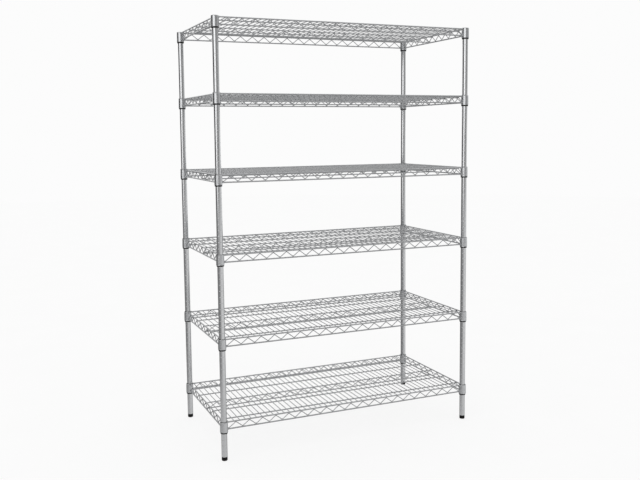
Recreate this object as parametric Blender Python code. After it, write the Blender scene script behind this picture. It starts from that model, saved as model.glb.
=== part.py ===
"""Wire shelving rack: four round posts, six welded wire shelves on split plastic
sleeves, press-in post caps and threaded levelling feet.

Frame: metres, +Z up, origin on the floor at the middle of the rack.
X is the long side, -Y the front, Y the depth.
"""

import math

import bmesh
import bpy

# ---------------------------------------------------------------- dimensions
INCH = 0.0254
RACK_WIDTH = 48 * INCH            # over the collars, along X
RACK_DEPTH = 24 * INCH            # over the collars, along Y
COLLAR_R = 0.0170                 # corner collar, outside, at its lower edge
HALF_W = RACK_WIDTH / 2 - COLLAR_R    # post centre lines
HALF_D = RACK_DEPTH / 2 - COLLAR_R

BOTTOM_SHELF_Z = 0.1640           # centre line of the lowest shelf's top wire
BAY_STEPS = (14, 14, 13, 13, 12)  # shelf spacing, in one-inch post grooves
SHELF_Z = [BOTTOM_SHELF_Z]
for steps in BAY_STEPS:
    SHELF_Z.append(SHELF_Z[-1] + steps * INCH)

SIDES = 12                        # facets on every turned piece, all in phase
GAP = 0.0003                      # clearance between touching pieces

# post tube and its welded-in threaded plug
POST_R = 0.0127
POST_WALL = 0.0012
FOOT_HEIGHT = 0.0160
POST_FLOOR = FOOT_HEIGHT + GAP
COLLAR_ABOVE = 0.0035             # collar above the top wire's centre line
POST_TOP = SHELF_Z[-1] + COLLAR_ABOVE
PLUG_HEIGHT = 0.0250
STUD_R = 0.00476                  # 3/8 in - 16 thread, drawn at its major radius
STUD_BORE_R = STUD_R + GAP

# post cap
CAP_FLANGE = 0.0010
CAP_DOME = 0.0020
CAP_STEM_R = POST_R - POST_WALL - GAP
CAP_STEM = 0.0150

# levelling foot
FOOT_R = 0.0125
FOOT_PAD_R = 0.0115
STUD_SEAT = 0.0030
STUD_TOP = 0.0460

# corner collar and the sleeve it wedges on
COLLAR_HEIGHT = 0.0440
COLLAR_R_TOP = 0.0164
BORE_R_TOP = 0.0143
BORE_R_BOTTOM = 0.0156
SLEEVE_HEIGHT = 0.0490
SLEEVE_DROP = 0.0005              # sleeve top under the collar top
SLEEVE_R_TOP = 0.0140
SLEEVE_R_BOTTOM = 0.0155

# wires (drawn square or three-sided with the round wire's area)
EDGE_HALF = 0.0030                # perimeter wire, 6 mm
EDGE_HALF_FLAT = 0.0025
TRUSS_DROP = 0.0300               # top wire to bottom wire, centre to centre
MAT_PITCH = INCH
MAT_PER_SIDE = 23
MAT_HALF = 0.0015                 # deck wire, 3.4 mm
MAT_TOP = 0.0008                  # the deck lies a little under the edge wire's top
MAT_BOTTOM = -0.0022
RAIL_HALF = 0.0025                # rails below the deck wires, 5.5 mm
RAIL_Y = (0.2315, 0.1160)
RAIL_END = HALF_W - 0.0018        # under the side wire, clear of its web wire
CENTER_DROP = 0.0310              # edge wire to the centre truss's bottom wire
CENTER_WEB_TOP = -0.0109
CENTER_WEB_BOTTOM = -0.0251
SNAKE_R = 0.0030                  # bent web wire, 4.2 mm
SNAKE_TOP = -0.0064
SNAKE_BOTTOM = -0.0236
SNAKE_FIRST = 0.0530              # first peak from the post centre
SNAKE_LEAD = 0.0227               # first valley from the post centre
LONG_PEAKS = 19
SHORT_PEAKS = 9
WELD_IN = 0.01575                 # wire end, from the post centre, in the collar wall

CORNERS = {
    "fl": (-HALF_W, -HALF_D),
    "fr": (HALF_W, -HALF_D),
    "bl": (-HALF_W, HALF_D),
    "br": (HALF_W, HALF_D),
}


# ---------------------------------------------------------------- scene
for old in list(bpy.data.objects):
    bpy.data.objects.remove(old, do_unlink=True)


def material(name, colour, roughness, metallic):
    made = bpy.data.materials.new(name)
    made.use_nodes = True
    shader = made.node_tree.nodes["Principled BSDF"]
    shader.inputs["Base Color"].default_value = (*colour, 1.0)
    shader.inputs["Roughness"].default_value = roughness
    shader.inputs["Metallic"].default_value = metallic
    made.diffuse_color = (*colour, 1.0)
    return made


CHROME_WIRE = ((0.60, 0.61, 0.62), 0.24, 1.0)
CHROME_TUBE = ((0.66, 0.67, 0.68), 0.14, 1.0)
BLACK_PLASTIC = ((0.012, 0.012, 0.013), 0.48, 0.0)
ZINC = ((0.52, 0.53, 0.52), 0.38, 1.0)


def node(name, mesh, finish, place):
    obj = bpy.data.objects.new(name, mesh.copy())
    obj.data.name = name
    obj.data.materials.clear()
    obj.data.materials.append(material(name, *finish))
    obj.location = place
    bpy.context.scene.collection.objects.link(obj)
    return obj


def mesh_from(bm, name):
    bmesh.ops.recalc_face_normals(bm, faces=bm.faces)
    mesh = bpy.data.meshes.new(name)
    bm.to_mesh(mesh)
    bm.free()
    return mesh


# ---------------------------------------------------------------- shapes
def turned(name, profile, smooth=True):
    """A closed (radius, z) outline spun about Z in SIDES steps; radius 0 makes a pole."""
    bm = bmesh.new()
    rings = []
    for radius, z in profile:
        if radius == 0:
            rings.append([bm.verts.new((0.0, 0.0, z))])
        else:
            rings.append([
                bm.verts.new((
                    radius * math.cos(2 * math.pi * i / SIDES),
                    radius * math.sin(2 * math.pi * i / SIDES),
                    z,
                ))
                for i in range(SIDES)
            ])
    for a, b in zip(rings, rings[1:] + rings[:1]):
        if len(a) == 1 and len(b) == 1:
            continue
        for i in range(SIDES):
            j = (i + 1) % SIDES
            if len(a) == 1:
                bm.faces.new((a[0], b[i], b[j]))
            elif len(b) == 1:
                bm.faces.new((a[i], b[0], a[j]))
            else:
                bm.faces.new((a[i], b[i], b[j], a[j]))
    mesh = mesh_from(bm, name)
    if smooth:
        mesh.shade_smooth()
        mesh.set_sharp_from_angle(angle=math.radians(40))
    return mesh


def add_bar(bm, low, high):
    """A square bar between two opposite corners."""
    corners = [
        bm.verts.new((x, y, z))
        for z in (low[2], high[2])
        for y in (low[1], high[1])
        for x in (low[0], high[0])
    ]
    for face in ((0, 2, 3, 1), (4, 5, 7, 6), (0, 1, 5, 4), (2, 6, 7, 3), (0, 4, 6, 2), (1, 3, 7, 5)):
        bm.faces.new([corners[i] for i in face])


def bar(name, low, high):
    bm = bmesh.new()
    add_bar(bm, low, high)
    return mesh_from(bm, name)


def snake_line(length, peaks, end_reach):
    """The zigzag's (distance, height) points between two post centres."""
    pitch = (length - 2 * SNAKE_FIRST) / (peaks - 1)
    points = [(end_reach, SNAKE_BOTTOM), (SNAKE_LEAD, SNAKE_BOTTOM)]
    for k in range(peaks):
        at = SNAKE_FIRST + pitch * k
        points.append((at, SNAKE_TOP))
        if k < peaks - 1:
            points.append((at + pitch / 2, SNAKE_BOTTOM))
    points += [(length - SNAKE_LEAD, SNAKE_BOTTOM), (length - end_reach, SNAKE_BOTTOM)]
    return points


def snake(name, points, place):
    """A three-sided wire along the zigzag, with mitred bends; place maps
    (distance, height, outward) to a position."""
    bm = bmesh.new()
    rings = []
    for i, (u, w) in enumerate(points):
        before = points[max(i - 1, 0)]
        after = points[min(i + 1, len(points) - 1)]
        steps = [
            ((b[0] - a[0]), (b[1] - a[1]))
            for a, b in ((before, (u, w)), ((u, w), after))
            if a != b
        ]
        steps = [(x / math.hypot(x, z), z / math.hypot(x, z)) for x, z in steps]
        tangent = (sum(s[0] for s in steps), sum(s[1] for s in steps))
        size = math.hypot(*tangent)
        tangent = (tangent[0] / size, tangent[1] / size)
        normal = (-tangent[1], tangent[0])
        mitre = 1.0 / (tangent[0] * steps[0][0] + tangent[1] * steps[0][1])
        ring = []
        for angle in (90, 210, 330):
            across = SNAKE_R * math.cos(math.radians(angle)) * mitre
            out = SNAKE_R * math.sin(math.radians(angle))
            ring.append(bm.verts.new(place(u + normal[0] * across, w + normal[1] * across, out)))
        rings.append(ring)
    for a, b in zip(rings, rings[1:]):
        for i in range(3):
            j = (i + 1) % 3
            bm.faces.new((a[i], b[i], b[j], a[j]))
    bm.faces.new(rings[0])
    bm.faces.new(rings[-1])
    return mesh_from(bm, name)


def joined(name, meshes):
    """One mesh from several, by exact Boolean unions."""
    base = bpy.data.objects.new(name, meshes[0])
    bpy.context.scene.collection.objects.link(base)
    helpers = []
    for mesh in meshes[1:]:
        helper = bpy.data.objects.new(name + "_add", mesh)
        helper.hide_render = True
        helper.display_type = "WIRE"
        bpy.context.scene.collection.objects.link(helper)
        union = base.modifiers.new("union", "BOOLEAN")
        union.operation = "UNION"
        union.solver = "EXACT"
        union.object = helper
        helpers.append(helper)
    graph = bpy.context.evaluated_depsgraph_get()
    result = bpy.data.meshes.new_from_object(base.evaluated_get(graph), depsgraph=graph)
    result.name = name
    for helper in [base] + helpers:
        bpy.data.objects.remove(helper, do_unlink=True)
    return result


# ---------------------------------------------------------------- shelf deck
def deck_grid():
    """Front and back top wires with the deck wires let into their inner sides."""
    stations = sorted(
        side * MAT_PITCH * (k + 0.5) for side in (-1, 1) for k in range(MAT_PER_SIDE)
    )
    end = HALF_W - COLLAR_R_TOP - 0.0005
    top, low = EDGE_HALF, -EDGE_HALF
    bm = bmesh.new()
    new = bm.verts.new
    inner = {}
    for side in (-1, 1):
        y_out = side * (HALF_D + EDGE_HALF_FLAT)
        y_in = side * (HALF_D - EDGE_HALF_FLAT)
        ol_t, or_t = new((-end, y_out, top)), new((end, y_out, top))
        ol_b, or_b = new((-end, y_out, low)), new((end, y_out, low))
        il_t, ir_t = new((-end, y_in, top)), new((end, y_in, top))
        il_b, ir_b = new((-end, y_in, low)), new((end, y_in, low))
        notches = []
        for x in stations:
            notches.append((
                new((x - MAT_HALF, y_in, MAT_TOP)),
                new((x - MAT_HALF, y_in, MAT_BOTTOM)),
                new((x + MAT_HALF, y_in, MAT_BOTTOM)),
                new((x + MAT_HALF, y_in, MAT_TOP)),
            ))
        inner[side] = notches
        bm.faces.new((ol_t, or_t, or_b, ol_b))
        bm.faces.new((ol_b, or_b, ir_b, il_b))
        bm.faces.new((ol_t, ol_b, il_b, il_t))
        bm.faces.new((or_t, ir_t, ir_b, or_b))
        bm.faces.new((ol_t, il_t, ir_t, or_t))
        # the inner side: quads between the notches, one face over and one under them
        upper, lower = [il_t], [il_b]
        for a, b, c, d in notches:
            upper += [a, d]
            lower += [b, c]
        upper.append(ir_t)
        lower.append(ir_b)
        for i in range(0, len(upper), 2):
            bm.faces.new((upper[i], lower[i], lower[i + 1], upper[i + 1]))
        bm.faces.new(upper)
        bm.faces.new(lower)
    for front, back in zip(inner[-1], inner[1]):
        for i in range(4):
            j = (i + 1) % 4
            bm.faces.new((front[i], front[j], back[j], back[i]))
    return mesh_from(bm, "deck_grid")


def deck():
    pieces = [deck_grid()]
    end = HALF_D - COLLAR_R_TOP - 0.0005
    rail_top = MAT_BOTTOM - 0.00025
    last = MAT_PITCH * (MAT_PER_SIDE - 0.5)
    frame = []
    for side in (-1, 1):
        frame.append(bar(
            "side_wire",
            (side * HALF_W - EDGE_HALF_FLAT, -end, -EDGE_HALF),
            (side * HALF_W + EDGE_HALF_FLAT, end, EDGE_HALF),
        ))
    for y in (-RAIL_Y[0], -RAIL_Y[1], RAIL_Y[1], RAIL_Y[0]):
        frame.append(bar(
            "rail",
            (-RAIL_END, y - RAIL_HALF, rail_top - 2 * RAIL_HALF),
            (RAIL_END, y + RAIL_HALF, rail_top),
        ))
        if abs(y) != RAIL_Y[0]:
            continue
        for side in (-1, 1):
            frame.append(bar(
                "weld",
                (side * last - 0.0009, y - 0.0012, rail_top - 0.0007),
                (side * last + 0.0009, y + 0.0012, MAT_BOTTOM + 0.0007),
            ))
    return joined("deck", pieces + frame)


# ---------------------------------------------------------------- shelf frame
def collar(x, y):
    mesh = turned("collar", [
        (COLLAR_R_TOP, COLLAR_ABOVE),
        (COLLAR_R, COLLAR_ABOVE - COLLAR_HEIGHT),
        (BORE_R_BOTTOM, COLLAR_ABOVE - COLLAR_HEIGHT),
        (BORE_R_TOP, COLLAR_ABOVE),
    ])
    for vertex in mesh.vertices:
        vertex.co.x += x
        vertex.co.y += y
    return mesh


def shelf_frame():
    pieces = []
    for x, y in CORNERS.values():
        pieces.append(collar(x, y))
    for side in (-1, 1):
        pieces.append(bar(
            "long_bottom_wire",
            (-HALF_W + WELD_IN, side * HALF_D - EDGE_HALF_FLAT, -TRUSS_DROP - EDGE_HALF),
            (HALF_W - WELD_IN, side * HALF_D + EDGE_HALF_FLAT, -TRUSS_DROP + EDGE_HALF),
        ))
        pieces.append(bar(
            "short_bottom_wire",
            (side * HALF_W - EDGE_HALF_FLAT, -HALF_D + WELD_IN, -TRUSS_DROP - EDGE_HALF),
            (side * HALF_W + EDGE_HALF_FLAT, HALF_D - WELD_IN, -TRUSS_DROP + EDGE_HALF),
        ))
        pieces.append(snake(
            "long_snake",
            snake_line(2 * HALF_W, LONG_PEAKS, WELD_IN),
            lambda u, w, out, side=side: (-HALF_W + u, side * (HALF_D + out), w),
        ))
        pieces.append(snake(
            "short_snake",
            snake_line(2 * HALF_D, SHORT_PEAKS, WELD_IN),
            lambda u, w, out, side=side: (side * (HALF_W + out), -HALF_D + u, w),
        ))
    return joined("frame", pieces)


def center_truss():
    """The middle truss under the deck: rail, web wire and bottom wire."""
    end = HALF_W - EDGE_HALF_FLAT - GAP
    top = MAT_BOTTOM - GAP
    rail = bar("rail", (-end, -RAIL_HALF, top - 2 * RAIL_HALF), (end, RAIL_HALF, top))
    bottom = bar(
        "bottom",
        (-end, -RAIL_HALF, -CENTER_DROP - RAIL_HALF),
        (end, RAIL_HALF, -CENTER_DROP + RAIL_HALF),
    )
    pitch = (2 * HALF_W - 2 * SNAKE_FIRST) / (LONG_PEAKS - 1)
    zigzag = [
        (SNAKE_FIRST + pitch * k / 2, CENTER_WEB_BOTTOM if k % 2 else CENTER_WEB_TOP)
        for k in range(2 * LONG_PEAKS - 1)
    ]
    foot = SNAKE_FIRST - pitch / 2
    web = snake(
        "web",
        [(foot, -CENTER_DROP)] + zigzag + [(2 * HALF_W - foot, -CENTER_DROP)],
        lambda u, w, out: (-HALF_W + u, out * 0.8, w),
    )
    ties = [
        bar(
            "weld",
            (side * (HALF_W - SNAKE_FIRST) - 0.0014, -0.0012, CENTER_WEB_TOP),
            (side * (HALF_W - SNAKE_FIRST) + 0.0014, 0.0012, top - 2 * RAIL_HALF + 0.0010),
        )
        for side in (-1, 1)
    ]
    return joined("center_truss", [web, rail, bottom] + ties)


# ---------------------------------------------------------------- assembly
deck_mesh = deck()
frame_mesh = shelf_frame()
truss_mesh = center_truss()
sleeve_mesh = turned("sleeve", [
    (SLEEVE_R_TOP, COLLAR_ABOVE - SLEEVE_DROP),
    (SLEEVE_R_BOTTOM, COLLAR_ABOVE - SLEEVE_DROP - SLEEVE_HEIGHT),
    (POST_R + GAP, COLLAR_ABOVE - SLEEVE_DROP - SLEEVE_HEIGHT),
    (POST_R + GAP, COLLAR_ABOVE - SLEEVE_DROP),
])
post_mesh = turned("post", [
    (POST_R, POST_TOP),
    (POST_R, POST_FLOOR),
    (STUD_BORE_R, POST_FLOOR),
    (STUD_BORE_R, POST_FLOOR + PLUG_HEIGHT),
    (POST_R - POST_WALL, POST_FLOOR + PLUG_HEIGHT),
    (POST_R - POST_WALL, POST_TOP),
])
cap_mesh = turned("cap", [
    (0.0, GAP + CAP_DOME),
    (POST_R - 0.0020, GAP + CAP_DOME - 0.0004),
    (POST_R, GAP + CAP_FLANGE),
    (POST_R, GAP),
    (CAP_STEM_R, GAP),
    (CAP_STEM_R, -CAP_STEM),
    (0.0, -CAP_STEM),
])
foot_mesh = turned("foot", [
    (0.0, 0.0),
    (FOOT_PAD_R, 0.0),
    (FOOT_R, 0.0015),
    (FOOT_R, FOOT_HEIGHT),
    (STUD_BORE_R, FOOT_HEIGHT),
    (STUD_BORE_R, STUD_SEAT),
    (0.0, STUD_SEAT),
])
stud_mesh = turned("stud", [
    (0.0, STUD_SEAT + GAP),
    (STUD_R, STUD_SEAT + GAP),
    (STUD_R, STUD_TOP),
    (0.0, STUD_TOP),
])

for number, z in enumerate(SHELF_Z, 1):
    node(f"shelf_{number}_deck", deck_mesh, CHROME_WIRE, (0, 0, z))
    node(f"shelf_{number}_frame", frame_mesh, CHROME_WIRE, (0, 0, z))
    node(f"shelf_{number}_center_truss", truss_mesh, CHROME_WIRE, (0, 0, z))
    for corner, (x, y) in CORNERS.items():
        node(f"sleeve_{number}_{corner}", sleeve_mesh, BLACK_PLASTIC, (x, y, z))
for corner, (x, y) in CORNERS.items():
    node(f"post_{corner}", post_mesh, CHROME_TUBE, (x, y, 0))
    node(f"post_cap_{corner}", cap_mesh, CHROME_TUBE, (x, y, POST_TOP))
    node(f"foot_base_{corner}", foot_mesh, BLACK_PLASTIC, (x, y, 0))
    node(f"foot_stud_{corner}", stud_mesh, ZINC, (x, y, 0))
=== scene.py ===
import math

import bmesh
import bpy
import numpy as np
from mathutils import Matrix, Vector


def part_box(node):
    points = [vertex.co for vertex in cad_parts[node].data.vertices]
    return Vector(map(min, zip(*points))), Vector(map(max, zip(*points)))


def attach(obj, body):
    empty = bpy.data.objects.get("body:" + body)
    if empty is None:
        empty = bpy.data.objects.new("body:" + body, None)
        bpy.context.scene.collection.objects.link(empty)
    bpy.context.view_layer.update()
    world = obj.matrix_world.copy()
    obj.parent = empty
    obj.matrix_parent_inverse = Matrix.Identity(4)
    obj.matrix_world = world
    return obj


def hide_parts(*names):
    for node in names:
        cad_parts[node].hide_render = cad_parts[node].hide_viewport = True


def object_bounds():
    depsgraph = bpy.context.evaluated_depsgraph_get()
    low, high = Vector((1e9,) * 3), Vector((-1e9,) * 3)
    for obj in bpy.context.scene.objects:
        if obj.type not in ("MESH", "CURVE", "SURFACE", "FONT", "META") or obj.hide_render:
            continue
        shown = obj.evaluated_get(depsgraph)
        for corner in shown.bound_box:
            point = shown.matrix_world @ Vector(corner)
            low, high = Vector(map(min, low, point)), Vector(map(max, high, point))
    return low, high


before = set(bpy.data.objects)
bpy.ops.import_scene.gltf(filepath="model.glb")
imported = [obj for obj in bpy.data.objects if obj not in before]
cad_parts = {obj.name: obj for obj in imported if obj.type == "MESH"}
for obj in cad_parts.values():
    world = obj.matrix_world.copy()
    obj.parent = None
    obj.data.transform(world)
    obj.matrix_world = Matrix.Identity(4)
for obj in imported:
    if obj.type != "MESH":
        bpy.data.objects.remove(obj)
cad_box = [list(map(float, corner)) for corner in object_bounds()]

# ------------------------------------------------------------------ placement
CORNERS = ("fl", "fr", "bl", "br")
SHELVES = range(1, 7)
CENTER = {}
for corner in CORNERS:
    low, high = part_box(f"post_{corner}")
    CENTER[corner] = ((low.x + high.x) / 2, (low.y + high.y) / 2)
HALF_W = CENTER["fr"][0]
HALF_D = CENTER["bl"][1]
POST_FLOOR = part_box("post_fl")[0].z
POST_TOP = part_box("post_fl")[1].z
POST_R = 0.0127
COLLAR_ABOVE = 0.0035
SHELF_Z = {n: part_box(f"shelf_{n}_frame")[1].z - COLLAR_ABOVE for n in SHELVES}

# wires
EDGE_R = 0.0030
TRUSS_DROP = 0.0300
MAT_R = 0.0017
MAT_Z = -0.0013
RAIL_R = 0.0027
RAIL_Z = -0.0054
RAIL_Y = (-0.2315, -0.1160, 0.1160, 0.2315)
CENTER_DROP = 0.0310
SNAKE_R = 0.0018
SNAKE_FIRST = 0.0530
SNAKE_LEAD = 0.0227
LONG_PEAKS = 19
SHORT_PEAKS = 9
INCH = 0.0254
MATS = [side * INCH * (k + 0.5) for side in (-1, 1) for k in range(23)]

# collar and sleeve
COLLAR_HEIGHT = 0.0440
COLLAR_R_TOP = 0.0164
COLLAR_R = 0.0170
BORE_R_TOP = 0.0143
BORE_R_BOTTOM = 0.0156


def rough(*seed):
    """A repeatable number from -1 to 1 for small hand-made differences."""
    value = math.sin(sum(s * w for s, w in zip(seed, (12.9898, 78.233, 37.719, 9.151)))) * 43758.5453
    return 2.0 * (value - math.floor(value)) - 1.0


# ------------------------------------------------------------------ mesh work
class Shape:
    """Vertices, faces, a lengthwise UV map in metres and a mark per vertex that darkens the plate: on welds, and as
    painted shade in the post's grooves.
    """

    def __init__(self):
        self.points, self.faces, self.uvs, self.marks = [], [], [], []

    def add_rings(self, rings, along, around, marks=None, closed_ring=True):
        """Quads between equal rings; along and around are the UV coordinates in metres."""
        base = len(self.points)
        count = len(rings[0])
        for i, ring in enumerate(rings):
            self.points.extend(tuple(map(float, p)) for p in ring)
            self.marks.extend([0.0 if marks is None else float(marks[i])] * count)
        last = count if closed_ring else count - 1
        for i in range(len(rings) - 1):
            for j in range(last):
                k = (j + 1) % count
                a, b = base + i * count + j, base + (i + 1) * count + j
                c, d = base + (i + 1) * count + k, base + i * count + k
                self.faces.append((a, b, c, d))
                u0, u1 = along[i], along[i + 1]
                v0, v1 = around * j / count, around * (j + 1) / count
                self.uvs.append(((u0, v0), (u1, v0), (u1, v1), (u0, v1)))
        return base

    def cap(self, base, count, index):
        first = base + index * count
        self.faces.append(tuple(first + j for j in range(count)))
        self.uvs.append(tuple(
            (0.002 * math.cos(2 * math.pi * j / count), 0.002 * math.sin(2 * math.pi * j / count))
            for j in range(count)
        ))

    def sweep(self, path, radii, normal, sides=10, marks=None, offset=0.0, turn=0.0):
        """A round wire along a planar path; normal is the plane's normal."""
        path = np.asarray(path, float)
        count = len(path)
        radii = np.full(count, radii) if np.isscalar(radii) else np.asarray(radii, float)
        normal = np.asarray(normal, float)
        steps = np.diff(path, axis=0)
        lengths = np.linalg.norm(steps, axis=1)
        units = steps / lengths[:, None]
        tangents = np.vstack([units[:1], units[:-1] + units[1:], units[-1:]])
        tangents /= np.linalg.norm(tangents, axis=1)[:, None]
        along = np.concatenate([[0.0], np.cumsum(lengths)]) + offset
        angles = turn + 2 * np.pi * np.arange(sides) / sides
        rings = []
        for p, t, r in zip(path, tangents, radii):
            side = np.cross(t, normal)
            rings.append(p + r * (np.outer(np.cos(angles), side) + np.outer(np.sin(angles), normal)))
        base = self.add_rings(rings, along, 2 * np.pi * float(radii.max()), marks)
        self.cap(base, sides, 0)
        self.cap(base, sides, count - 1)

    def wire(self, start, end, radius, normal, sides=10, round_start=False, round_end=False, marks=None, seed=0.0, spans=1):
        """A straight wire, with a rounded nose at a free end."""
        start, end = np.asarray(start, float), np.asarray(end, float)
        length = float(np.linalg.norm(end - start))
        unit = (end - start) / length
        places, radii = [], []
        if round_start:
            for step in (0.0, 0.35, 0.75):
                places.append(radius * (1 - math.cos(step * math.pi / 2)) * 0.9)
                radii.append(radius * (0.45 + 0.55 * math.sin(step * math.pi / 2)))
        else:
            places.append(0.0)
            radii.append(radius)
        for k in range(1, spans):
            places.append(length * k / spans)
            radii.append(radius)
        tail, tail_r = [], []
        if round_end:
            for step in (0.75, 0.35, 0.0):
                tail.append(length - radius * (1 - math.cos(step * math.pi / 2)) * 0.9)
                tail_r.append(radius * (0.45 + 0.55 * math.sin(step * math.pi / 2)))
        else:
            tail.append(length)
            tail_r.append(radius)
        places += tail
        radii += tail_r
        self.sweep([start + unit * p for p in places], radii, normal, sides, marks, offset=seed * 0.37)

    def nugget(self, center, axis, normal, long, wide, deep, seed=0.0, sides=8):
        """A small squeezed-out welding bead: a lumpy pebble, long x wide x deep half sizes."""
        center = np.asarray(center, float)
        axis, normal = np.asarray(axis, float), np.asarray(normal, float)
        across = np.cross(axis, normal)
        rings, marks, along = [], [], []
        for level, size in ((-0.95, 0.35), (-0.55, 0.84), (0.0, 1.0), (0.55, 0.84), (0.95, 0.35)):
            ring = []
            for j in range(sides):
                angle = 2 * math.pi * j / sides
                lump = 1.0 + 0.10 * rough(seed, j, level)
                ring.append(
                    center
                    + axis * (long * size * lump * math.cos(angle))
                    + across * (wide * size * lump * math.sin(angle))
                    + normal * (deep * level)
                )
            rings.append(ring)
            marks.append(1.0)
            along.append(level * deep)
        base = self.add_rings(rings, along, 2 * math.pi * max(long, wide), marks)
        self.cap(base, sides, 0)
        self.cap(base, sides, len(rings) - 1)

    def fillet(self, origin, direction, radius, seat, spread=1.5, reach=0.0042, sides=16, seed=0.0):
        """The welded fillet round a wire that ends on something: origin is on the wire's axis, seat(offset)
        says how far the surface falls away from origin at an offset vector."""
        origin, direction = np.asarray(origin, float), np.asarray(direction, float)
        direction = direction / np.linalg.norm(direction)
        helper = np.array([0.0, 0.0, 1.0]) if abs(direction[2]) < 0.9 else np.array([1.0, 0.0, 0.0])
        side = np.cross(helper, direction)
        side /= np.linalg.norm(side)
        up = np.cross(direction, side)
        rings, marks, along = [], [], []
        for share, size in ((-0.12, 1.0), (0.0, 1.0), (0.12, 0.78), (0.30, 0.50), (0.55, 0.24), (0.85, 0.06), (1.0, -0.06)):
            ring = []
            for j in range(sides):
                angle = 2 * math.pi * j / sides
                lump = 1.0 + 0.12 * rough(seed, j // 2, 3.1) + 0.05 * rough(seed, j, share)
                r = radius * (1.0 + (spread - 1.0) * size * (lump if size > 0 else 1.0))
                offset = side * (r * math.cos(angle)) + up * (r * math.sin(angle))
                sink = seat(offset) * max(0.0, 1.0 - max(share, 0.0))
                ring.append(origin + offset + direction * (share * reach - sink))
            rings.append(ring)
            marks.append(max(0.0, 1.0 - share))
            along.append(share * reach)
        base = self.add_rings(rings, along, 2 * math.pi * radius, marks)
        self.cap(base, sides, 0)
        self.cap(base, sides, len(rings) - 1)

    def turned(self, profile, center, sides=64, start=0.0, stop=2 * math.pi, marks=None, wave=None):
        """A closed (radius, height) outline spun about a vertical axis; a part turn is closed off at its ends."""
        full = abs(stop - start - 2 * math.pi) < 1e-6
        columns = sides if full else sides + 1
        angles = [start + (stop - start) * k / sides for k in range(columns)]
        outline = list(profile)
        count = len(outline)
        base = len(self.points)
        lengths = [0.0]
        for a, b in zip(outline, outline[1:] + outline[:1]):
            lengths.append(lengths[-1] + math.hypot(a[0] - b[0], a[1] - b[1]))
        for angle in angles:
            for i, (r, z) in enumerate(outline):
                radius = r if wave is None else r + wave(angle, r, z)
                self.points.append((center[0] + radius * math.cos(angle), center[1] + radius * math.sin(angle), center[2] + z))
                self.marks.append(0.0 if marks is None else float(marks[i]))
        turns = columns if full else columns - 1
        for c in range(turns):
            d = (c + 1) % columns
            for i in range(count):
                j = (i + 1) % count
                if outline[i][0] == 0 and outline[j][0] == 0:
                    continue
                a, b = base + c * count + i, base + d * count + i
                e, f = base + d * count + j, base + c * count + j
                self.faces.append((a, b, e, f))
                v0, v1 = 0.0127 * (start + (stop - start) * c / sides), 0.0127 * (start + (stop - start) * (c + 1) / sides)
                self.uvs.append(((lengths[i], v0), (lengths[i], v1), (lengths[i + 1], v1), (lengths[i + 1], v0)))
        if not full:
            self.faces.append(tuple(base + i for i in range(count)))
            self.uvs.append(tuple((0.0, lengths[i]) for i in range(count)))
            first = base + (columns - 1) * count
            self.faces.append(tuple(first + i for i in range(count)))
            self.uvs.append(tuple((0.0, lengths[i]) for i in range(count)))

    def mesh(self, name, angle=38.0):
        mesh = bpy.data.meshes.new(name)
        mesh.from_pydata(self.points, [], self.faces)
        layer = mesh.uv_layers.new(name="length_uv")
        flat = np.array([c for face in self.uvs for uv in face for c in uv], np.float32)
        layer.data.foreach_set("uv", flat)
        mark = mesh.attributes.new("weld", "FLOAT", "POINT")
        mark.data.foreach_set("value", np.array(self.marks, np.float32))
        bm = bmesh.new()
        bm.from_mesh(mesh)
        bmesh.ops.remove_doubles(bm, verts=bm.verts, dist=1e-7)
        bmesh.ops.dissolve_degenerate(bm, edges=bm.edges, dist=1e-8)
        bmesh.ops.recalc_face_normals(bm, faces=bm.faces)
        bm.to_mesh(mesh)
        bm.free()
        mesh.shade_smooth()
        mesh.set_sharp_from_angle(angle=math.radians(angle))
        return mesh


def place(name, mesh, at, material, body, stands_for):
    """One visible piece: its mesh, finish, body and the CAD node it stands for."""
    obj = bpy.data.objects.new(name, mesh)
    obj.location = at
    if not obj.data.materials:
        obj.data.materials.append(material)
    bpy.context.scene.collection.objects.link(obj)
    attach(obj, body)
    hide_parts(*stands_for)
    return obj


# ------------------------------------------------------------------ materials
def new_material(name):
    made = bpy.data.materials.new(name)
    made.use_nodes = True
    nodes, links = made.node_tree.nodes, made.node_tree.links
    shader = nodes["Principled BSDF"]
    return made, nodes, links, shader


def noise(nodes, links, vector, scale, detail=3.0, roughness=0.55, stretch=None):
    """A noise texture on a vector, which stretch scales first."""
    if stretch is not None:
        mapping = nodes.new("ShaderNodeMapping")
        mapping.inputs["Scale"].default_value = stretch
        links.new(vector, mapping.inputs["Vector"])
        vector = mapping.outputs["Vector"]
    made = nodes.new("ShaderNodeTexNoise")
    made.inputs["Scale"].default_value = scale
    made.inputs["Detail"].default_value = detail
    made.inputs["Roughness"].default_value = roughness
    links.new(vector, made.inputs["Vector"])
    return made.outputs["Fac"]


def ramp(nodes, links, value, stops):
    made = nodes.new("ShaderNodeValToRGB")
    elements = made.color_ramp.elements
    while len(elements) < len(stops):
        elements.new(0.5)
    for element, (position, colour) in zip(elements, stops):
        element.position = position
        element.color = (*colour, 1.0) if len(colour) == 3 else colour
    links.new(value, made.inputs["Fac"])
    return made.outputs["Color"]


def spread(nodes, links, value, low, high, from_low=0.3, from_high=0.7):
    made = nodes.new("ShaderNodeMapRange")
    made.inputs["From Min"].default_value = from_low
    made.inputs["From Max"].default_value = from_high
    made.inputs["To Min"].default_value = low
    made.inputs["To Max"].default_value = high
    links.new(value, made.inputs["Value"])
    return made.outputs["Result"]


def math_node(nodes, links, operation, a, b):
    made = nodes.new("ShaderNodeMath")
    made.operation = operation
    for socket, value in zip(made.inputs, (a, b)):
        if isinstance(value, (int, float)):
            socket.default_value = value
        else:
            links.new(value, socket)
    return made.outputs[0]


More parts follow.
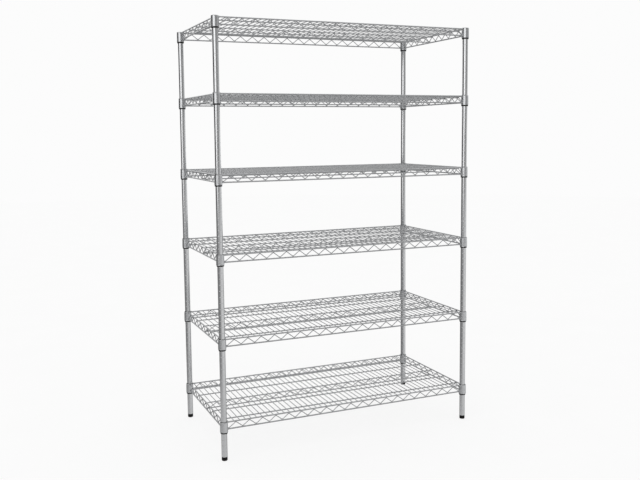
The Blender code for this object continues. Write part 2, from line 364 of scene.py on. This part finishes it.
def mix_colour(nodes, links, factor, a, b):
    made = nodes.new("ShaderNodeMix")
    made.data_type = "RGBA"
    made.blend_type = "MIX"
    for socket, value in ((made.inputs[0], factor), (made.inputs[6], a), (made.inputs[7], b)):
        if isinstance(value, (int, float)):
            socket.default_value = value
        elif isinstance(value, tuple):
            socket.default_value = (*value, 1.0)
        else:
            links.new(value, socket)
    return made.outputs[2]


def bump(nodes, links, shader, height, strength, distance, before=None):
    made = nodes.new("ShaderNodeBump")
    made.inputs["Strength"].default_value = strength
    made.inputs["Distance"].default_value = distance
    links.new(height, made.inputs["Height"])
    if before is not None:
        links.new(before, made.inputs["Normal"])
    links.new(made.outputs["Normal"], shader.inputs["Normal"])
    return made.outputs["Normal"]


def chrome(name, dark, light, rough_low, rough_high, streak):
    """Bright plate: a slow tone shift, drawing streaks along the piece, a fine orange peel,
    and duller, darker plate on the welds and in the post's grooves, where the darkening is painted shade."""
    made, nodes, links, shader = new_material(name)
    coords = nodes.new("ShaderNodeTexCoord").outputs["Object"]
    uv = nodes.new("ShaderNodeUVMap")
    uv.uv_map = "length_uv"
    length = uv.outputs["UV"]
    weld = nodes.new("ShaderNodeAttribute")
    weld.attribute_name = "weld"
    weld = weld.outputs["Fac"]
    slow = noise(nodes, links, coords, 7.0, 4.0)
    streaks = noise(nodes, links, length, 1.0, 5.0, 0.62, (14.0, 2600.0, 1.0))
    peel = noise(nodes, links, coords, 900.0, 2.0)
    cloud = noise(nodes, links, coords, 90.0, 5.0, 0.6)
    tone = ramp(nodes, links, slow, ((0.30, dark), (0.70, light)))
    fine = ramp(nodes, links, streaks, (
        (0.25, tuple(c * 0.90 for c in dark)),
        (0.55, light),
        (0.85, tuple(min(1.0, c * 1.05) for c in light)),
    ))
    colour = mix_colour(nodes, links, streak, tone, fine)
    smudge = spread(nodes, links, cloud, 0.0, 0.22, 0.52, 0.78)
    colour = mix_colour(nodes, links, smudge, colour, tuple(c * 0.78 for c in dark))
    # darker plate where the vertex mark is set: real discolouring on the welds, painted shade in the post's grooves
    colour = mix_colour(nodes, links, spread(nodes, links, weld, 0.0, 0.55, 0.0, 1.0), colour, tuple(c * 0.80 for c in dark))
    links.new(colour, shader.inputs["Base Color"])
    shader.inputs["Metallic"].default_value = 1.0
    base = spread(nodes, links, streaks, rough_low, rough_high)
    base = math_node(nodes, links, "ADD", base, spread(nodes, links, cloud, 0.0, 0.07, 0.45, 0.8))
    base = math_node(nodes, links, "ADD", base, spread(nodes, links, weld, 0.0, 0.14, 0.0, 1.0))
    links.new(base, shader.inputs["Roughness"])
    first = bump(nodes, links, shader, streaks, 0.05, 0.0003)
    lumps = noise(nodes, links, coords, 420.0, 3.0)
    lumps = math_node(nodes, links, "MULTIPLY", lumps, weld)
    second = bump(nodes, links, shader, lumps, 0.5, 0.0006, first)
    bump(nodes, links, shader, peel, 0.03, 0.0002, second)
    return made


def moulded(name, dark, light, rough_low, rough_high, grain, scuff, shine):
    """Moulded plastic: spark-eroded grain, faint flow clouding, paler rubbed spots."""
    made, nodes, links, shader = new_material(name)
    coords = nodes.new("ShaderNodeTexCoord").outputs["Object"]
    flow = noise(nodes, links, coords, 60.0, 4.0, 0.6, (1.0, 1.0, 0.35))
    fine = noise(nodes, links, coords, grain, 3.0, 0.6)
    patch = noise(nodes, links, coords, 240.0, 5.0, 0.68)
    colour = ramp(nodes, links, flow, ((0.30, dark), (0.72, light)))
    rubbed = spread(nodes, links, patch, 0.0, scuff, 0.58, 0.76)
    colour = mix_colour(nodes, links, rubbed, colour, (0.11, 0.11, 0.107))
    links.new(colour, shader.inputs["Base Color"])
    rough_value = spread(nodes, links, fine, rough_low, rough_high)
    rough_value = math_node(nodes, links, "ADD", rough_value, math_node(nodes, links, "MULTIPLY", rubbed, 0.25))
    links.new(rough_value, shader.inputs["Roughness"])
    shader.inputs["Specular IOR Level"].default_value = shine
    bump(nodes, links, shader, fine, 0.28, 0.0004)
    return made


def zinc(name):
    """Passivated zinc on the threaded studs: blue-grey with straw patches and a crystalline grain."""
    made, nodes, links, shader = new_material(name)
    coords = nodes.new("ShaderNodeTexCoord").outputs["Object"]
    cloud = noise(nodes, links, coords, 220.0, 4.0, 0.6)
    grain = noise(nodes, links, coords, 1800.0, 3.0)
    colour = ramp(nodes, links, cloud, (
        (0.30, (0.46, 0.48, 0.50)),
        (0.55, (0.57, 0.575, 0.56)),
        (0.80, (0.60, 0.57, 0.46)),
    ))
    links.new(colour, shader.inputs["Base Color"])
    shader.inputs["Metallic"].default_value = 1.0
    links.new(spread(nodes, links, grain, 0.30, 0.48), shader.inputs["Roughness"])
    bump(nodes, links, shader, grain, 0.20, 0.0002)
    return made


wire_chrome = chrome("wire_chrome", (0.50, 0.51, 0.525), (0.60, 0.607, 0.615), 0.16, 0.30, 0.45)
post_chrome = chrome("post_chrome", (0.56, 0.567, 0.58), (0.64, 0.645, 0.65), 0.09, 0.17, 0.40)
sleeve_black = moulded("sleeve_black", (0.005, 0.005, 0.0055), (0.012, 0.012, 0.0125), 0.46, 0.62, 1500.0, 0.05, 0.18)
foot_black = moulded("foot_black", (0.004, 0.004, 0.004), (0.010, 0.010, 0.010), 0.52, 0.70, 1100.0, 0.05, 0.16)
stud_zinc = zinc("stud_zinc")


# ------------------------------------------------------------------ shapes
def rounded(path, radius, steps=5):
    """The (distance, height) path with its bends turned into arcs."""
    result = [path[0]]
    for before, at, after in zip(path, path[1:], path[2:]):
        a = Vector((before[0] - at[0], before[1] - at[1]))
        b = Vector((after[0] - at[0], after[1] - at[1]))
        turn = math.pi - a.angle(b)
        if turn < 1e-3:
            result.append(at)
            continue
        cut = radius * math.tan(turn / 2)
        a.normalize()
        b.normalize()
        bisector = (a + b).normalized()
        centre = Vector(at) + bisector * math.hypot(cut, radius)
        start = Vector(at) + a * cut - centre
        end = Vector(at) + b * cut - centre
        sweep = math.atan2(start.x * end.y - start.y * end.x, start.dot(end))
        for k in range(steps + 1):
            angle = sweep * k / steps
            result.append((
                centre.x + start.x * math.cos(angle) - start.y * math.sin(angle),
                centre.y + start.x * math.sin(angle) + start.y * math.cos(angle),
            ))
    result.append(path[-1])
    return result


def sharp_height(level, radius, run, rise):
    """Where a sharp corner must lie for its rounded bend to reach level."""
    slope = math.atan2(abs(rise), run)
    return level + math.copysign(radius * (1 / math.cos(slope) - 1), rise)


def zigzag(length, peaks, top, bottom, bend, reach, lead, first):
    """The bent web wire between two collars, as (distance, height) with round bends."""
    pitch = (length - 2 * first) / (peaks - 1)
    up = sharp_height(top, bend, pitch / 2, top - bottom)
    down = sharp_height(bottom, bend, pitch / 2, bottom - top)
    points = [(reach, bottom), (lead, bottom)]
    for k in range(peaks):
        at = first + pitch * k
        points.append((at, up))
        if k < peaks - 1:
            points.append((at + pitch / 2, down))
    points += [(length - lead, bottom), (length - reach, bottom)]
    return rounded(points, bend), pitch


def collar_profile():
    """Outline of the formed corner collar: rounded rims, slight flare, tapered bore."""
    top, bottom = COLLAR_ABOVE, COLLAR_ABOVE - COLLAR_HEIGHT
    soft = 0.0007
    outline = []
    for k in range(5):  # top outer rim
        a = math.pi / 2 * k / 4
        outline.append((COLLAR_R_TOP - soft + soft * math.sin(a), top - soft + soft * math.cos(a)))
    for share in (0.035, 0.12, 0.3, 0.5, 0.7, 0.88, 0.965):
        belly = 0.00018 * math.sin(math.pi * share)
        outline.append((COLLAR_R_TOP + (COLLAR_R - COLLAR_R_TOP) * share - 0.00018 + belly, top - COLLAR_HEIGHT * share))
    for k in range(5):  # bottom outer rim
        a = math.pi / 2 * k / 4
        outline.append((COLLAR_R - soft + soft * math.cos(a), bottom + soft - soft * math.sin(a)))
    inner = 0.0004
    for k in range(3):
        a = math.pi / 2 * k / 2
        outline.append((BORE_R_BOTTOM + inner - inner * math.sin(a), bottom + inner - inner * math.cos(a)))
    for k in range(3):
        a = math.pi / 2 * k / 2
        outline.append((BORE_R_TOP + inner - inner * math.cos(a), top - inner + inner * math.sin(a)))
    return outline


def edge_frame():
    """Collars, perimeter wires and their zigzags: everything of a shelf but the deck and the middle wires."""
    shape = Shape()
    sign = {"fl": (1, 1), "fr": (-1, 1), "bl": (1, -1), "br": (-1, -1)}
    wall = (COLLAR_R_TOP + COLLAR_R) / 2
    for corner, (x, y) in CENTER.items():
        sx, sy = sign[corner]
        seam = math.atan2(sy, sx)

        def dent(angle, r, z, seam=seam):
            """The collar is rolled from strip: its closing seam faces inwards."""
            apart = abs((angle - seam + math.pi) % (2 * math.pi) - math.pi) * r
            return -0.00022 * math.exp(-((apart / 0.0007) ** 2)) if r > 0.016 else 0.0

        shape.turned(collar_profile(), (x, y, 0.0), 72, wave=dent)
        for z, radius in ((0.0, EDGE_R), (-TRUSS_DROP, EDGE_R)):
            out = COLLAR_R_TOP + (COLLAR_R - COLLAR_R_TOP) * (COLLAR_ABOVE - z) / COLLAR_HEIGHT
            shape.fillet((x + sx * out, y, z), (sx, 0, 0), radius, lambda o, q=out: q - math.sqrt(q * q - min(o[1] ** 2, 0.9 * q * q)), seed=x + z + 1.0)
            shape.fillet((x, y + sy * out, z), (0, sy, 0), radius, lambda o, q=out: q - math.sqrt(q * q - min(o[0] ** 2, 0.9 * q * q)), seed=y + z + 2.0)
    inside = 0.0159
    top, bottom, bend = -EDGE_R - SNAKE_R + 0.0001, -TRUSS_DROP + EDGE_R + SNAKE_R - 0.0001, 0.0065
    for side in (-1, 1):
        y, x = side * HALF_D, side * HALF_W
        for z, seed in ((0.0, 1.0), (-TRUSS_DROP, 2.0)):
            shape.wire((-HALF_W + inside, y, z), (HALF_W - inside, y, z), EDGE_R, (0, 0, 1), 16, seed=seed + side, spans=12)
            shape.wire((x, -HALF_D + inside, z), (x, HALF_D - inside, z), EDGE_R, (0, 0, 1), 16, seed=seed + 3 * side, spans=6)
        line, pitch = zigzag(2 * HALF_W, LONG_PEAKS, top, bottom, bend, inside, SNAKE_LEAD, SNAKE_FIRST)
        shape.sweep([(-HALF_W + u, y, w) for u, w in line], SNAKE_R, (0, 1, 0), 10, offset=side)
        for k in range(2 * LONG_PEAKS - 1):
            u = -HALF_W + SNAKE_FIRST + pitch * k / 2
            z = (-EDGE_R if k % 2 == 0 else -TRUSS_DROP + EDGE_R)
            shape.nugget((u, y, z), (1, 0, 0), (0, 0, 1), 0.0029, 0.0019, 0.0009, seed=k + side)
        line, pitch = zigzag(2 * HALF_D, SHORT_PEAKS, top, bottom, bend, inside, SNAKE_LEAD, SNAKE_FIRST)
        shape.sweep([(x, -HALF_D + u, w) for u, w in line], SNAKE_R, (1, 0, 0), 10, offset=side + 5)
        for k in range(2 * SHORT_PEAKS - 1):
            u = -HALF_D + SNAKE_FIRST + pitch * k / 2
            z = (-EDGE_R if k % 2 == 0 else -TRUSS_DROP + EDGE_R)
            shape.nugget((x, u, z), (0, 1, 0), (0, 0, 1), 0.0029, 0.0019, 0.0009, seed=k + 31 * side)
    return shape.mesh("edge_frame")


def deck():
    """The deck wires, the four outer rails below them and their welds."""
    shape = Shape()
    for n, x in enumerate(MATS):
        x += 0.0002 * rough(n, 1.0)
        end = HALF_D - 0.0006
        shape.wire((x, -end, MAT_Z), (x, end, MAT_Z), MAT_R, (0, 0, 1), 10, seed=0.61 * n, spans=6)
        for side in (-1, 1):
            shape.fillet(
                (x, side * (HALF_D - EDGE_R), MAT_Z), (0, -side, 0), MAT_R,
                lambda o: (EDGE_R - math.sqrt(max(EDGE_R ** 2 - (o[2] + MAT_Z) ** 2, 1e-9))),
                spread=1.42, reach=0.0024, sides=8, seed=n * 0.7 + side,
            )
        for y in RAIL_Y:
            shape.nugget((x, y, (MAT_Z - MAT_R + RAIL_Z + RAIL_R) / 2), (1, 0, 0), (0, 0, 1), 0.0021, 0.0019, 0.0007, seed=n + 17 * y)
    for i, y in enumerate(RAIL_Y):
        end = HALF_W - 0.0012
        shape.wire((-end, y, RAIL_Z), (end, y, RAIL_Z), RAIL_R, (0, 0, 1), 12, True, True, seed=2.3 * i, spans=12)
        for side in (-1, 1):
            shape.nugget((side * (HALF_W - 0.0006), y, -EDGE_R), (0, 1, 0), (0, 0, 1), 0.0026, 0.0020, 0.0010, seed=i + 5 * side)
    return shape.mesh("deck")


def center_truss():
    """The middle rail, its zigzag and its bottom wire."""
    shape = Shape()
    end = HALF_W - 0.0012
    shape.wire((-end, 0, RAIL_Z), (end, 0, RAIL_Z), RAIL_R, (0, 0, 1), 12, True, True, seed=9.0, spans=12)
    shape.wire((-end, 0, -CENTER_DROP), (end, 0, -CENTER_DROP), RAIL_R, (0, 0, 1), 12, True, True, seed=9.7, spans=12)
    top = RAIL_Z - RAIL_R - SNAKE_R + 0.0001
    bottom = -CENTER_DROP + RAIL_R + SNAKE_R - 0.0001
    bend = 0.0065
    length = 2 * HALF_W
    pitch = (length - 2 * SNAKE_FIRST) / (LONG_PEAKS - 1)
    up = sharp_height(top, bend, pitch / 2, top - bottom)
    down = sharp_height(bottom, bend, pitch / 2, bottom - top)
    points = [(SNAKE_FIRST - pitch / 2 - 0.012, bottom), (SNAKE_FIRST - pitch / 2, bottom)]
    points += [(SNAKE_FIRST + pitch * k / 2, down if k % 2 else up) for k in range(2 * LONG_PEAKS - 1)]
    points += [(length - SNAKE_FIRST + pitch / 2, bottom), (length - SNAKE_FIRST + pitch / 2 + 0.012, bottom)]
    line = rounded(points, bend)
    shape.sweep([(-HALF_W + u, 0.0, w) for u, w in line], SNAKE_R, (0, 1, 0), 10)
    for k in range(2 * LONG_PEAKS - 1):
        u = -HALF_W + SNAKE_FIRST + pitch * k / 2
        z = RAIL_Z - RAIL_R if k % 2 == 0 else -CENTER_DROP + RAIL_R
        shape.nugget((u, 0, z), (1, 0, 0), (0, 0, 1), 0.0028, 0.0018, 0.0009, seed=k + 0.5)
    for n, x in enumerate(MATS):
        shape.nugget((x, 0, (MAT_Z - MAT_R + RAIL_Z + RAIL_R) / 2), (1, 0, 0), (0, 0, 1), 0.0021, 0.0019, 0.0007, seed=n + 0.25)
    for side in (-1, 1):
        shape.nugget((side * (HALF_W - 0.0006), 0, -EDGE_R), (0, 1, 0), (0, 0, 1), 0.0026, 0.0020, 0.0010, seed=side)
        shape.nugget((side * (HALF_W - 0.0024), 0, -CENTER_DROP), (0, 1, 0), (0, 0, 1), 0.0032, 0.0012, 0.0030, seed=3 * side)
    return shape.mesh("center_truss")


def sleeve():
    """The two snapped halves of a tapered sleeve, with the seams between them."""
    shape = Shape()
    top, bottom = 0.0042, -0.0460
    r_top, r_bottom = 0.01395, 0.0154
    bore = 0.0130
    outline = [
        (bore + 0.0002, top), (r_top - 0.0005, top), (r_top - 0.00015, top - 0.00015), (r_top, top - 0.0005),
    ]
    for share in (0.25, 0.5, 0.75):
        outline.append((r_top + (r_bottom - r_top) * share, top + (bottom - top) * share))
    outline += [
        (r_bottom - 0.00005, bottom + 0.0030),
        (r_bottom, bottom + 0.0008), (r_bottom - 0.0002, bottom + 0.0002), (r_bottom - 0.0008, bottom),
        (bore + 0.0002, bottom), (bore, bottom + 0.0002), (bore, top - 0.0002),
    ]
    gap = 0.020
    for half in (0.0, math.pi):
        shape.turned(outline, (0, 0, 0), 40, half + gap, half + math.pi - gap)
    return shape.mesh("sleeve", 30.0)


def post():
    """Post tube with rolled grooves one inch apart, rounded ends and its threaded plug."""
    shape = Shape()
    outer = [(POST_R - 0.0006, POST_FLOOR), (POST_R - 0.00018, POST_FLOOR + 0.00018), (POST_R, POST_FLOOR + 0.0006), (POST_R, POST_FLOOR + 0.0012)]
    marks = [0.0, 0.0, 0.0, 0.0]
    first = SHELF_Z[1] - 0.0210
    start = first - INCH * math.floor((first - POST_FLOOR - 0.012) / INCH)
    z = start
    deep, half = 0.00018, 0.0007
    while z < POST_TOP - 0.006:
        for share, depth in (
            (-2.3, 0.0), (-1.35, 0.0), (-0.85, 0.16), (-0.45, 0.72), (0.0, 1.0),
            (0.45, 0.72), (0.85, 0.16), (1.35, 0.0), (2.3, 0.0),
        ):
            outer.append((POST_R - deep * depth, z + half * share))
            # the groove depth also sets the plate-darkening mark: painted shade in each groove bottom
            marks.append(0.5 * depth)
        z += INCH
    outer += [(POST_R, POST_TOP - 0.0011), (POST_R, POST_TOP - 0.0005), (POST_R - 0.00015, POST_TOP - 0.00012), (POST_R - 0.0005, POST_TOP)]
    bore = 0.0115
    stud = 0.00516
    inner = [
        (bore, POST_TOP), (bore, POST_FLOOR + 0.0250), (stud, POST_FLOOR + 0.0250),
        (stud, POST_FLOOR + 0.0004), (stud + 0.0004, POST_FLOOR),
    ]
    outline = outer + inner
    marks += [0.0] * (len(outline) - len(marks))
    shape.turned(outline, (0, 0, 0), 56, marks=marks)
    return shape.mesh("post", 50.0)


def cap():
    """Press-in post cap: shallow dome over a thin flange, ribbed stem inside the tube."""
    shape = Shape()
    outline = [(0.0, 0.0023), (0.0030, 0.00226), (0.0062, 0.00212), (0.0092, 0.00186), (0.0112, 0.00155)]
    for k in range(1, 5):
        a = math.pi / 2 * k / 4
        outline.append((0.0116 + 0.0011 * math.sin(a), 0.0004 + 0.0011 * math.cos(a)))
    outline += [(0.0126, 0.0003), (0.0111, 0.0003)]
    for z in (-0.002, -0.0045, -0.007, -0.0095, -0.012):
        outline += [(0.01095, z + 0.0006), (0.0112, z), (0.01095, z - 0.0006)]
    outline += [(0.0106, -0.0150), (0.0, -0.0150)]
    shape.turned(outline, (0, 0, 0), 48)
    return shape.mesh("cap", 40.0)


def foot():
    """Levelling foot: moulded boot with a bevelled tread and a shallow gripping band."""
    shape = Shape()
    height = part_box("foot_base_fl")[1].z
    outline = [
        (0.0, 0.0), (0.0098, 0.0), (0.0110, 0.00012), (0.0117, 0.0006), (0.0122, 0.0016), (0.0124, 0.0030),
        (0.0124, 0.0050), (0.0125, 0.0054), (0.0125, 0.0120), (0.0124, 0.0124),
        (0.0124, height - 0.0012), (0.0121, height - 0.0004), (0.0114, height),
        (0.00535, height), (0.00506, height - 0.0003), (0.00506, 0.0030), (0.0, 0.0030),
    ]

    def flutes(angle, r, z):
        """Finger flutes round the middle band."""
        if r > 0.01245 and 0.005 < z < 0.0125:
            return -0.00045 * (0.5 + 0.5 * math.cos(24 * angle)) ** 2
        return 0.0

    shape.turned(outline, (0, 0, 0), 144, wave=flutes)
    return shape.mesh("foot", 35.0)


def stud():
    """The foot's right-hand 3/8 in - 16 thread, as one helix, with turned ends."""
    shape = Shape()
    low, high = 0.0033, 0.0460
    pitch = INCH / 16
    major, minor = 0.00476, 0.00395
    sides = 24
    per = 6
    rows = int((high - low) / pitch * per)
    step = (high - low) / rows
    rings, along, marks = [], [], []
    for i in range(rows + 1):
        z = low + step * i
        ring = []
        for j in range(sides):
            angle = 2 * math.pi * j / sides
            phase = (z / pitch - angle / (2 * math.pi)) % 1.0
            crest = 1.0 - abs(2 * phase - 1.0)
            depth = min(1.0, max(0.0, (crest - 0.12) / 0.76))
            fade = min(1.0, (z - low) / 0.0016, (high - z) / 0.0016)
            r = minor + (major - minor) * depth * max(0.0, fade) - 0.0002 * (1.0 - fade)
            ring.append((r * math.cos(angle), r * math.sin(angle), z))
        rings.append(ring)
        along.append(z)
        marks.append(0.0)
    base = shape.add_rings(rings, along, 2 * math.pi * major, marks)
    shape.cap(base, sides, 0)
    shape.cap(base, sides, rows)
    return shape.mesh("stud", 60.0)


# ------------------------------------------------------------------ pieces
frame_mesh, deck_mesh, truss_mesh, sleeve_mesh = edge_frame(), deck(), center_truss(), sleeve()
post_mesh, cap_mesh, foot_mesh, stud_mesh = post(), cap(), foot(), stud()
for n in SHELVES:
    z = SHELF_Z[n]
    body = f"shelf_{n}"
    place(f"shelf_{n}_edge_wires", frame_mesh, (0, 0, z), wire_chrome, body, [f"shelf_{n}_frame"])
    place(f"shelf_{n}_deck_wires", deck_mesh, (0, 0, z), wire_chrome, body, [f"shelf_{n}_deck"])
    place(f"shelf_{n}_middle_wires", truss_mesh, (0, 0, z), wire_chrome, body, [f"shelf_{n}_center_truss"])
    for corner, (x, y) in CENTER.items():
        place(f"sleeve_{n}_{corner}_halves", sleeve_mesh, (x, y, z), sleeve_black, "rack_frame", [f"sleeve_{n}_{corner}"])
for corner, (x, y) in CENTER.items():
    place(f"post_{corner}_tube", post_mesh, (x, y, 0), post_chrome, "rack_frame", [f"post_{corner}"])
    place(f"post_{corner}_cap", cap_mesh, (x, y, POST_TOP), post_chrome, "rack_frame", [f"post_cap_{corner}"])
    place(f"foot_{corner}_boot", foot_mesh, (x, y, 0), foot_black, f"foot_{corner}", [f"foot_base_{corner}"])
    place(f"foot_{corner}_thread", stud_mesh, (x, y, 0), stud_zinc, f"foot_screw_{corner}", [f"foot_stud_{corner}"])

# ------------------------------------------------------------------ stage
bm = bmesh.new()
bmesh.ops.create_circle(bm, cap_ends=True, segments=96, radius=14.0)
floor_mesh = bpy.data.meshes.new("floor")
bm.to_mesh(floor_mesh)
bm.free()
floor = bpy.data.objects.new("floor", floor_mesh)
floor.location = (0, 0, cad_box[0][2] - 0.0002)
bpy.context.scene.collection.objects.link(floor)
floor_paint, nodes, links, shader = new_material("floor_pale")
coords = nodes.new("ShaderNodeTexCoord").outputs["Object"]
links.new(ramp(nodes, links, noise(nodes, links, coords, 3.0, 4.0), ((0.2, (0.145, 0.145, 0.144)), (0.8, (0.155, 0.155, 0.155)))), shader.inputs["Base Color"])
shader.inputs["Roughness"].default_value = 0.9
shader.inputs["Specular IOR Level"].default_value = 0.0
# lit from below as well, like a shooting table, so that no dark pool forms under the rack
shader.inputs["Emission Color"].default_value = (1.0, 1.0, 1.0, 1.0)
shader.inputs["Emission Strength"].default_value = 0.818
floor_mesh.materials.append(floor_paint)
floor.visible_glossy = False

# ------------------------------------------------------------------ light
world = bpy.data.worlds.new("studio")
world.use_nodes = True
bpy.context.scene.world = world
wn, wl = world.node_tree.nodes, world.node_tree.links
wn.clear()
out = wn.new("ShaderNodeOutputWorld")
direction = wn.new("ShaderNodeTexCoord").outputs["Generated"]
split = wn.new("ShaderNodeSeparateXYZ")
wl.new(direction, split.inputs[0])
X, Y, Z = split.outputs


def wmath(operation, a, b=0.0, c=None):
    return math_node(wn, wl, operation, a, b)


def smooth(value, low, high):
    made = wn.new("ShaderNodeMapRange")
    made.interpolation_type = "SMOOTHSTEP"
    made.inputs["From Min"].default_value = low
    made.inputs["From Max"].default_value = high
    made.inputs["To Min"].default_value = 0.0
    made.inputs["To Max"].default_value = 1.0
    wl.new(value, made.inputs["Value"])
    return made.outputs["Result"]


# The studio round the rack, as its plating sees it: angle turns clockwise, seen
# from above, from the direction in front of the rack's left front corner.
FRONT = math.radians(23.4)
cx, cy = -math.sin(FRONT), -math.cos(FRONT)
ahead = wmath("ADD", wmath("MULTIPLY", X, cx), wmath("MULTIPLY", Y, cy))
leftward = wmath("ADD", wmath("MULTIPLY", X, -math.cos(FRONT)), wmath("MULTIPLY", Y, math.sin(FRONT)))
turn = wmath("ARCTAN2", leftward, ahead)   # 0 ahead, + to the left, radians
deg = math.radians


def window(value, a, b, c, d):
    """1 between b and c, fading to 0 at a and d."""
    return wmath("MULTIPLY", smooth(value, a, b), wmath("SUBTRACT", 1.0, smooth(value, c, d)))


above = smooth(Z, -0.14, -0.03)          # walls and boxes, as against the floor
high = smooth(Z, -0.02, 0.05)
near_floor = smooth(Z, -0.36, -0.26)     # the floor further out
right_side = wmath("MULTIPLY", turn, -1.0)
# one tall soft box, wider where it is seen from below
box_upper = window(turn, deg(-14), deg(-5), deg(46), deg(56))
box_lower = window(turn, deg(12), deg(24), deg(54), deg(66))
box = wmath("ADD", wmath("MULTIPLY", box_upper, high), wmath("MULTIPLY", box_lower, wmath("SUBTRACT", 1.0, high)))
box = wmath("MULTIPLY", box, wmath("SUBTRACT", 1.0, smooth(Z, 0.55, 0.75)))
wall = wmath("ADD", 0.20, wmath("MULTIPLY", smooth(right_side, deg(-10), deg(30)), 0.14))
wall = wmath("ADD", wall, wmath("MULTIPLY", smooth(right_side, deg(50), deg(95)), wmath("ADD", 0.24, wmath("MULTIPLY", wmath("SUBTRACT", 1.0, high), 0.45))))
wall = wmath("ADD", wall, wmath("MULTIPLY", smooth(right_side, deg(110), deg(150)), 0.25))
wall = wmath("MULTIPLY", wall, wmath("SUBTRACT", 1.0, wmath("MULTIPLY", window(turn, deg(50), deg(62), deg(106), deg(122)), 0.65)))
wall = wmath("ADD", wall, wmath("MULTIPLY", box, 1.38))
wall = wmath("ADD", wall, wmath("MULTIPLY", smooth(Z, 0.60, 0.90), 0.45))
far = wmath("ADD", 0.28, wmath("MULTIPLY", smooth(right_side, deg(-45), deg(35)), 0.60))
ground = wmath("ADD", wmath("MULTIPLY", far, near_floor), wmath("MULTIPLY", wmath("SUBTRACT", 1.0, near_floor), 0.72))
level = wmath("ADD", wmath("MULTIPLY", wall, above), wmath("MULTIPLY", ground, wmath("SUBTRACT", 1.0, above)))
# a pale wall behind and to the left, which the deck wires mirror from end to end
rear = wmath("MULTIPLY", smooth(turn, deg(108), deg(124)), smooth(Z, -0.10, 0.04))
rear = wmath("MULTIPLY", rear, wmath("SUBTRACT", 1.0, wmath("MULTIPLY", smooth(Z, 0.24, 0.42), 0.75)))
level = wmath("ADD", level, wmath("MULTIPLY", rear, 0.72))
# behind the rack, below the eye, the room is dim: the undersides of the high shelves see it
behind = wmath("MULTIPLY", smooth(wmath("ABSOLUTE", turn), deg(105), deg(135)), wmath("SUBTRACT", 1.0, smooth(Z, -0.20, -0.07)))
level = wmath("MULTIPLY", level, wmath("SUBTRACT", 1.0, wmath("MULTIPLY", behind, 0.48)))
# and straight down, between the reflections, it is dim as well
down = wmath("SUBTRACT", 1.0, smooth(Z, -0.66, -0.48))
level = wmath("MULTIPLY", level, wmath("SUBTRACT", 1.0, wmath("MULTIPLY", down, 0.40)))
studio = wn.new("ShaderNodeBackground")
studio.inputs["Color"].default_value = (1.0, 1.0, 1.0, 1.0)
wl.new(level, studio.inputs["Strength"])
fill = wn.new("ShaderNodeBackground")
fill.inputs["Color"].default_value = (1.0, 1.0, 1.0, 1.0)
fill.inputs["Strength"].default_value = 1.0
backdrop = wn.new("ShaderNodeBackground")
backdrop.inputs["Color"].default_value = (1.0, 1.0, 1.0, 1.0)
backdrop.inputs["Strength"].default_value = 0.973
paths = wn.new("ShaderNodeLightPath")
mix = wn.new("ShaderNodeMixShader")
wl.new(paths.outputs["Is Glossy Ray"], mix.inputs["Fac"])
wl.new(fill.outputs[0], mix.inputs[1])
wl.new(studio.outputs[0], mix.inputs[2])
seen = wn.new("ShaderNodeMixShader")
wl.new(paths.outputs["Is Camera Ray"], seen.inputs["Fac"])
wl.new(mix.outputs[0], seen.inputs[1])
wl.new(backdrop.outputs[0], seen.inputs[2])
wl.new(seen.outputs[0], out.inputs["Surface"])

key = bpy.data.lights.new("key", "AREA")
key.shape = "RECTANGLE"
key.size, key.size_y = 4.0, 3.0
key.energy = 9.0
key_obj = bpy.data.objects.new("key", key)
key_obj.location = (-1.9, -2.3, 3.6)
key_obj.rotation_euler = (Vector((0, 0, 0.9)) - Vector(key_obj.location)).to_track_quat("-Z", "Y").to_euler()
key_obj.visible_glossy = False
bpy.context.scene.collection.objects.link(key_obj)

# ------------------------------------------------------------------ camera
camera = bpy.data.cameras.new("camera")
camera.sensor_width = 36.0
camera.lens = 44.90
camera.shift_y = -0.040
camera.clip_start, camera.clip_end = 0.05, 100.0
camera_obj = bpy.data.objects.new("camera", camera)
azimuth, elevation, roll = (math.radians(v) for v in (23.44, 5.84, -0.56))
forward = Vector((math.sin(azimuth) * math.cos(elevation), math.cos(azimuth) * math.cos(elevation), -math.sin(elevation)))
right = Vector((math.cos(azimuth), -math.sin(azimuth), 0.0))
up = right.cross(forward)
right, up = right * math.cos(roll) + up * math.sin(roll), up * math.cos(roll) - right * math.sin(roll)
camera_obj.matrix_world = Matrix((
    (right.x, up.x, -forward.x, -1.5080),
    (right.y, up.y, -forward.y, -3.4376),
    (right.z, up.z, -forward.z, 1.3737),
    (0, 0, 0, 1),
))
bpy.context.scene.collection.objects.link(camera_obj)
bpy.context.scene.camera = camera_obj

bpy.context.scene.view_settings.view_transform = "Standard"
bpy.context.scene.view_settings.look = "None"
bpy.context.scene.view_settings.exposure = 0.0
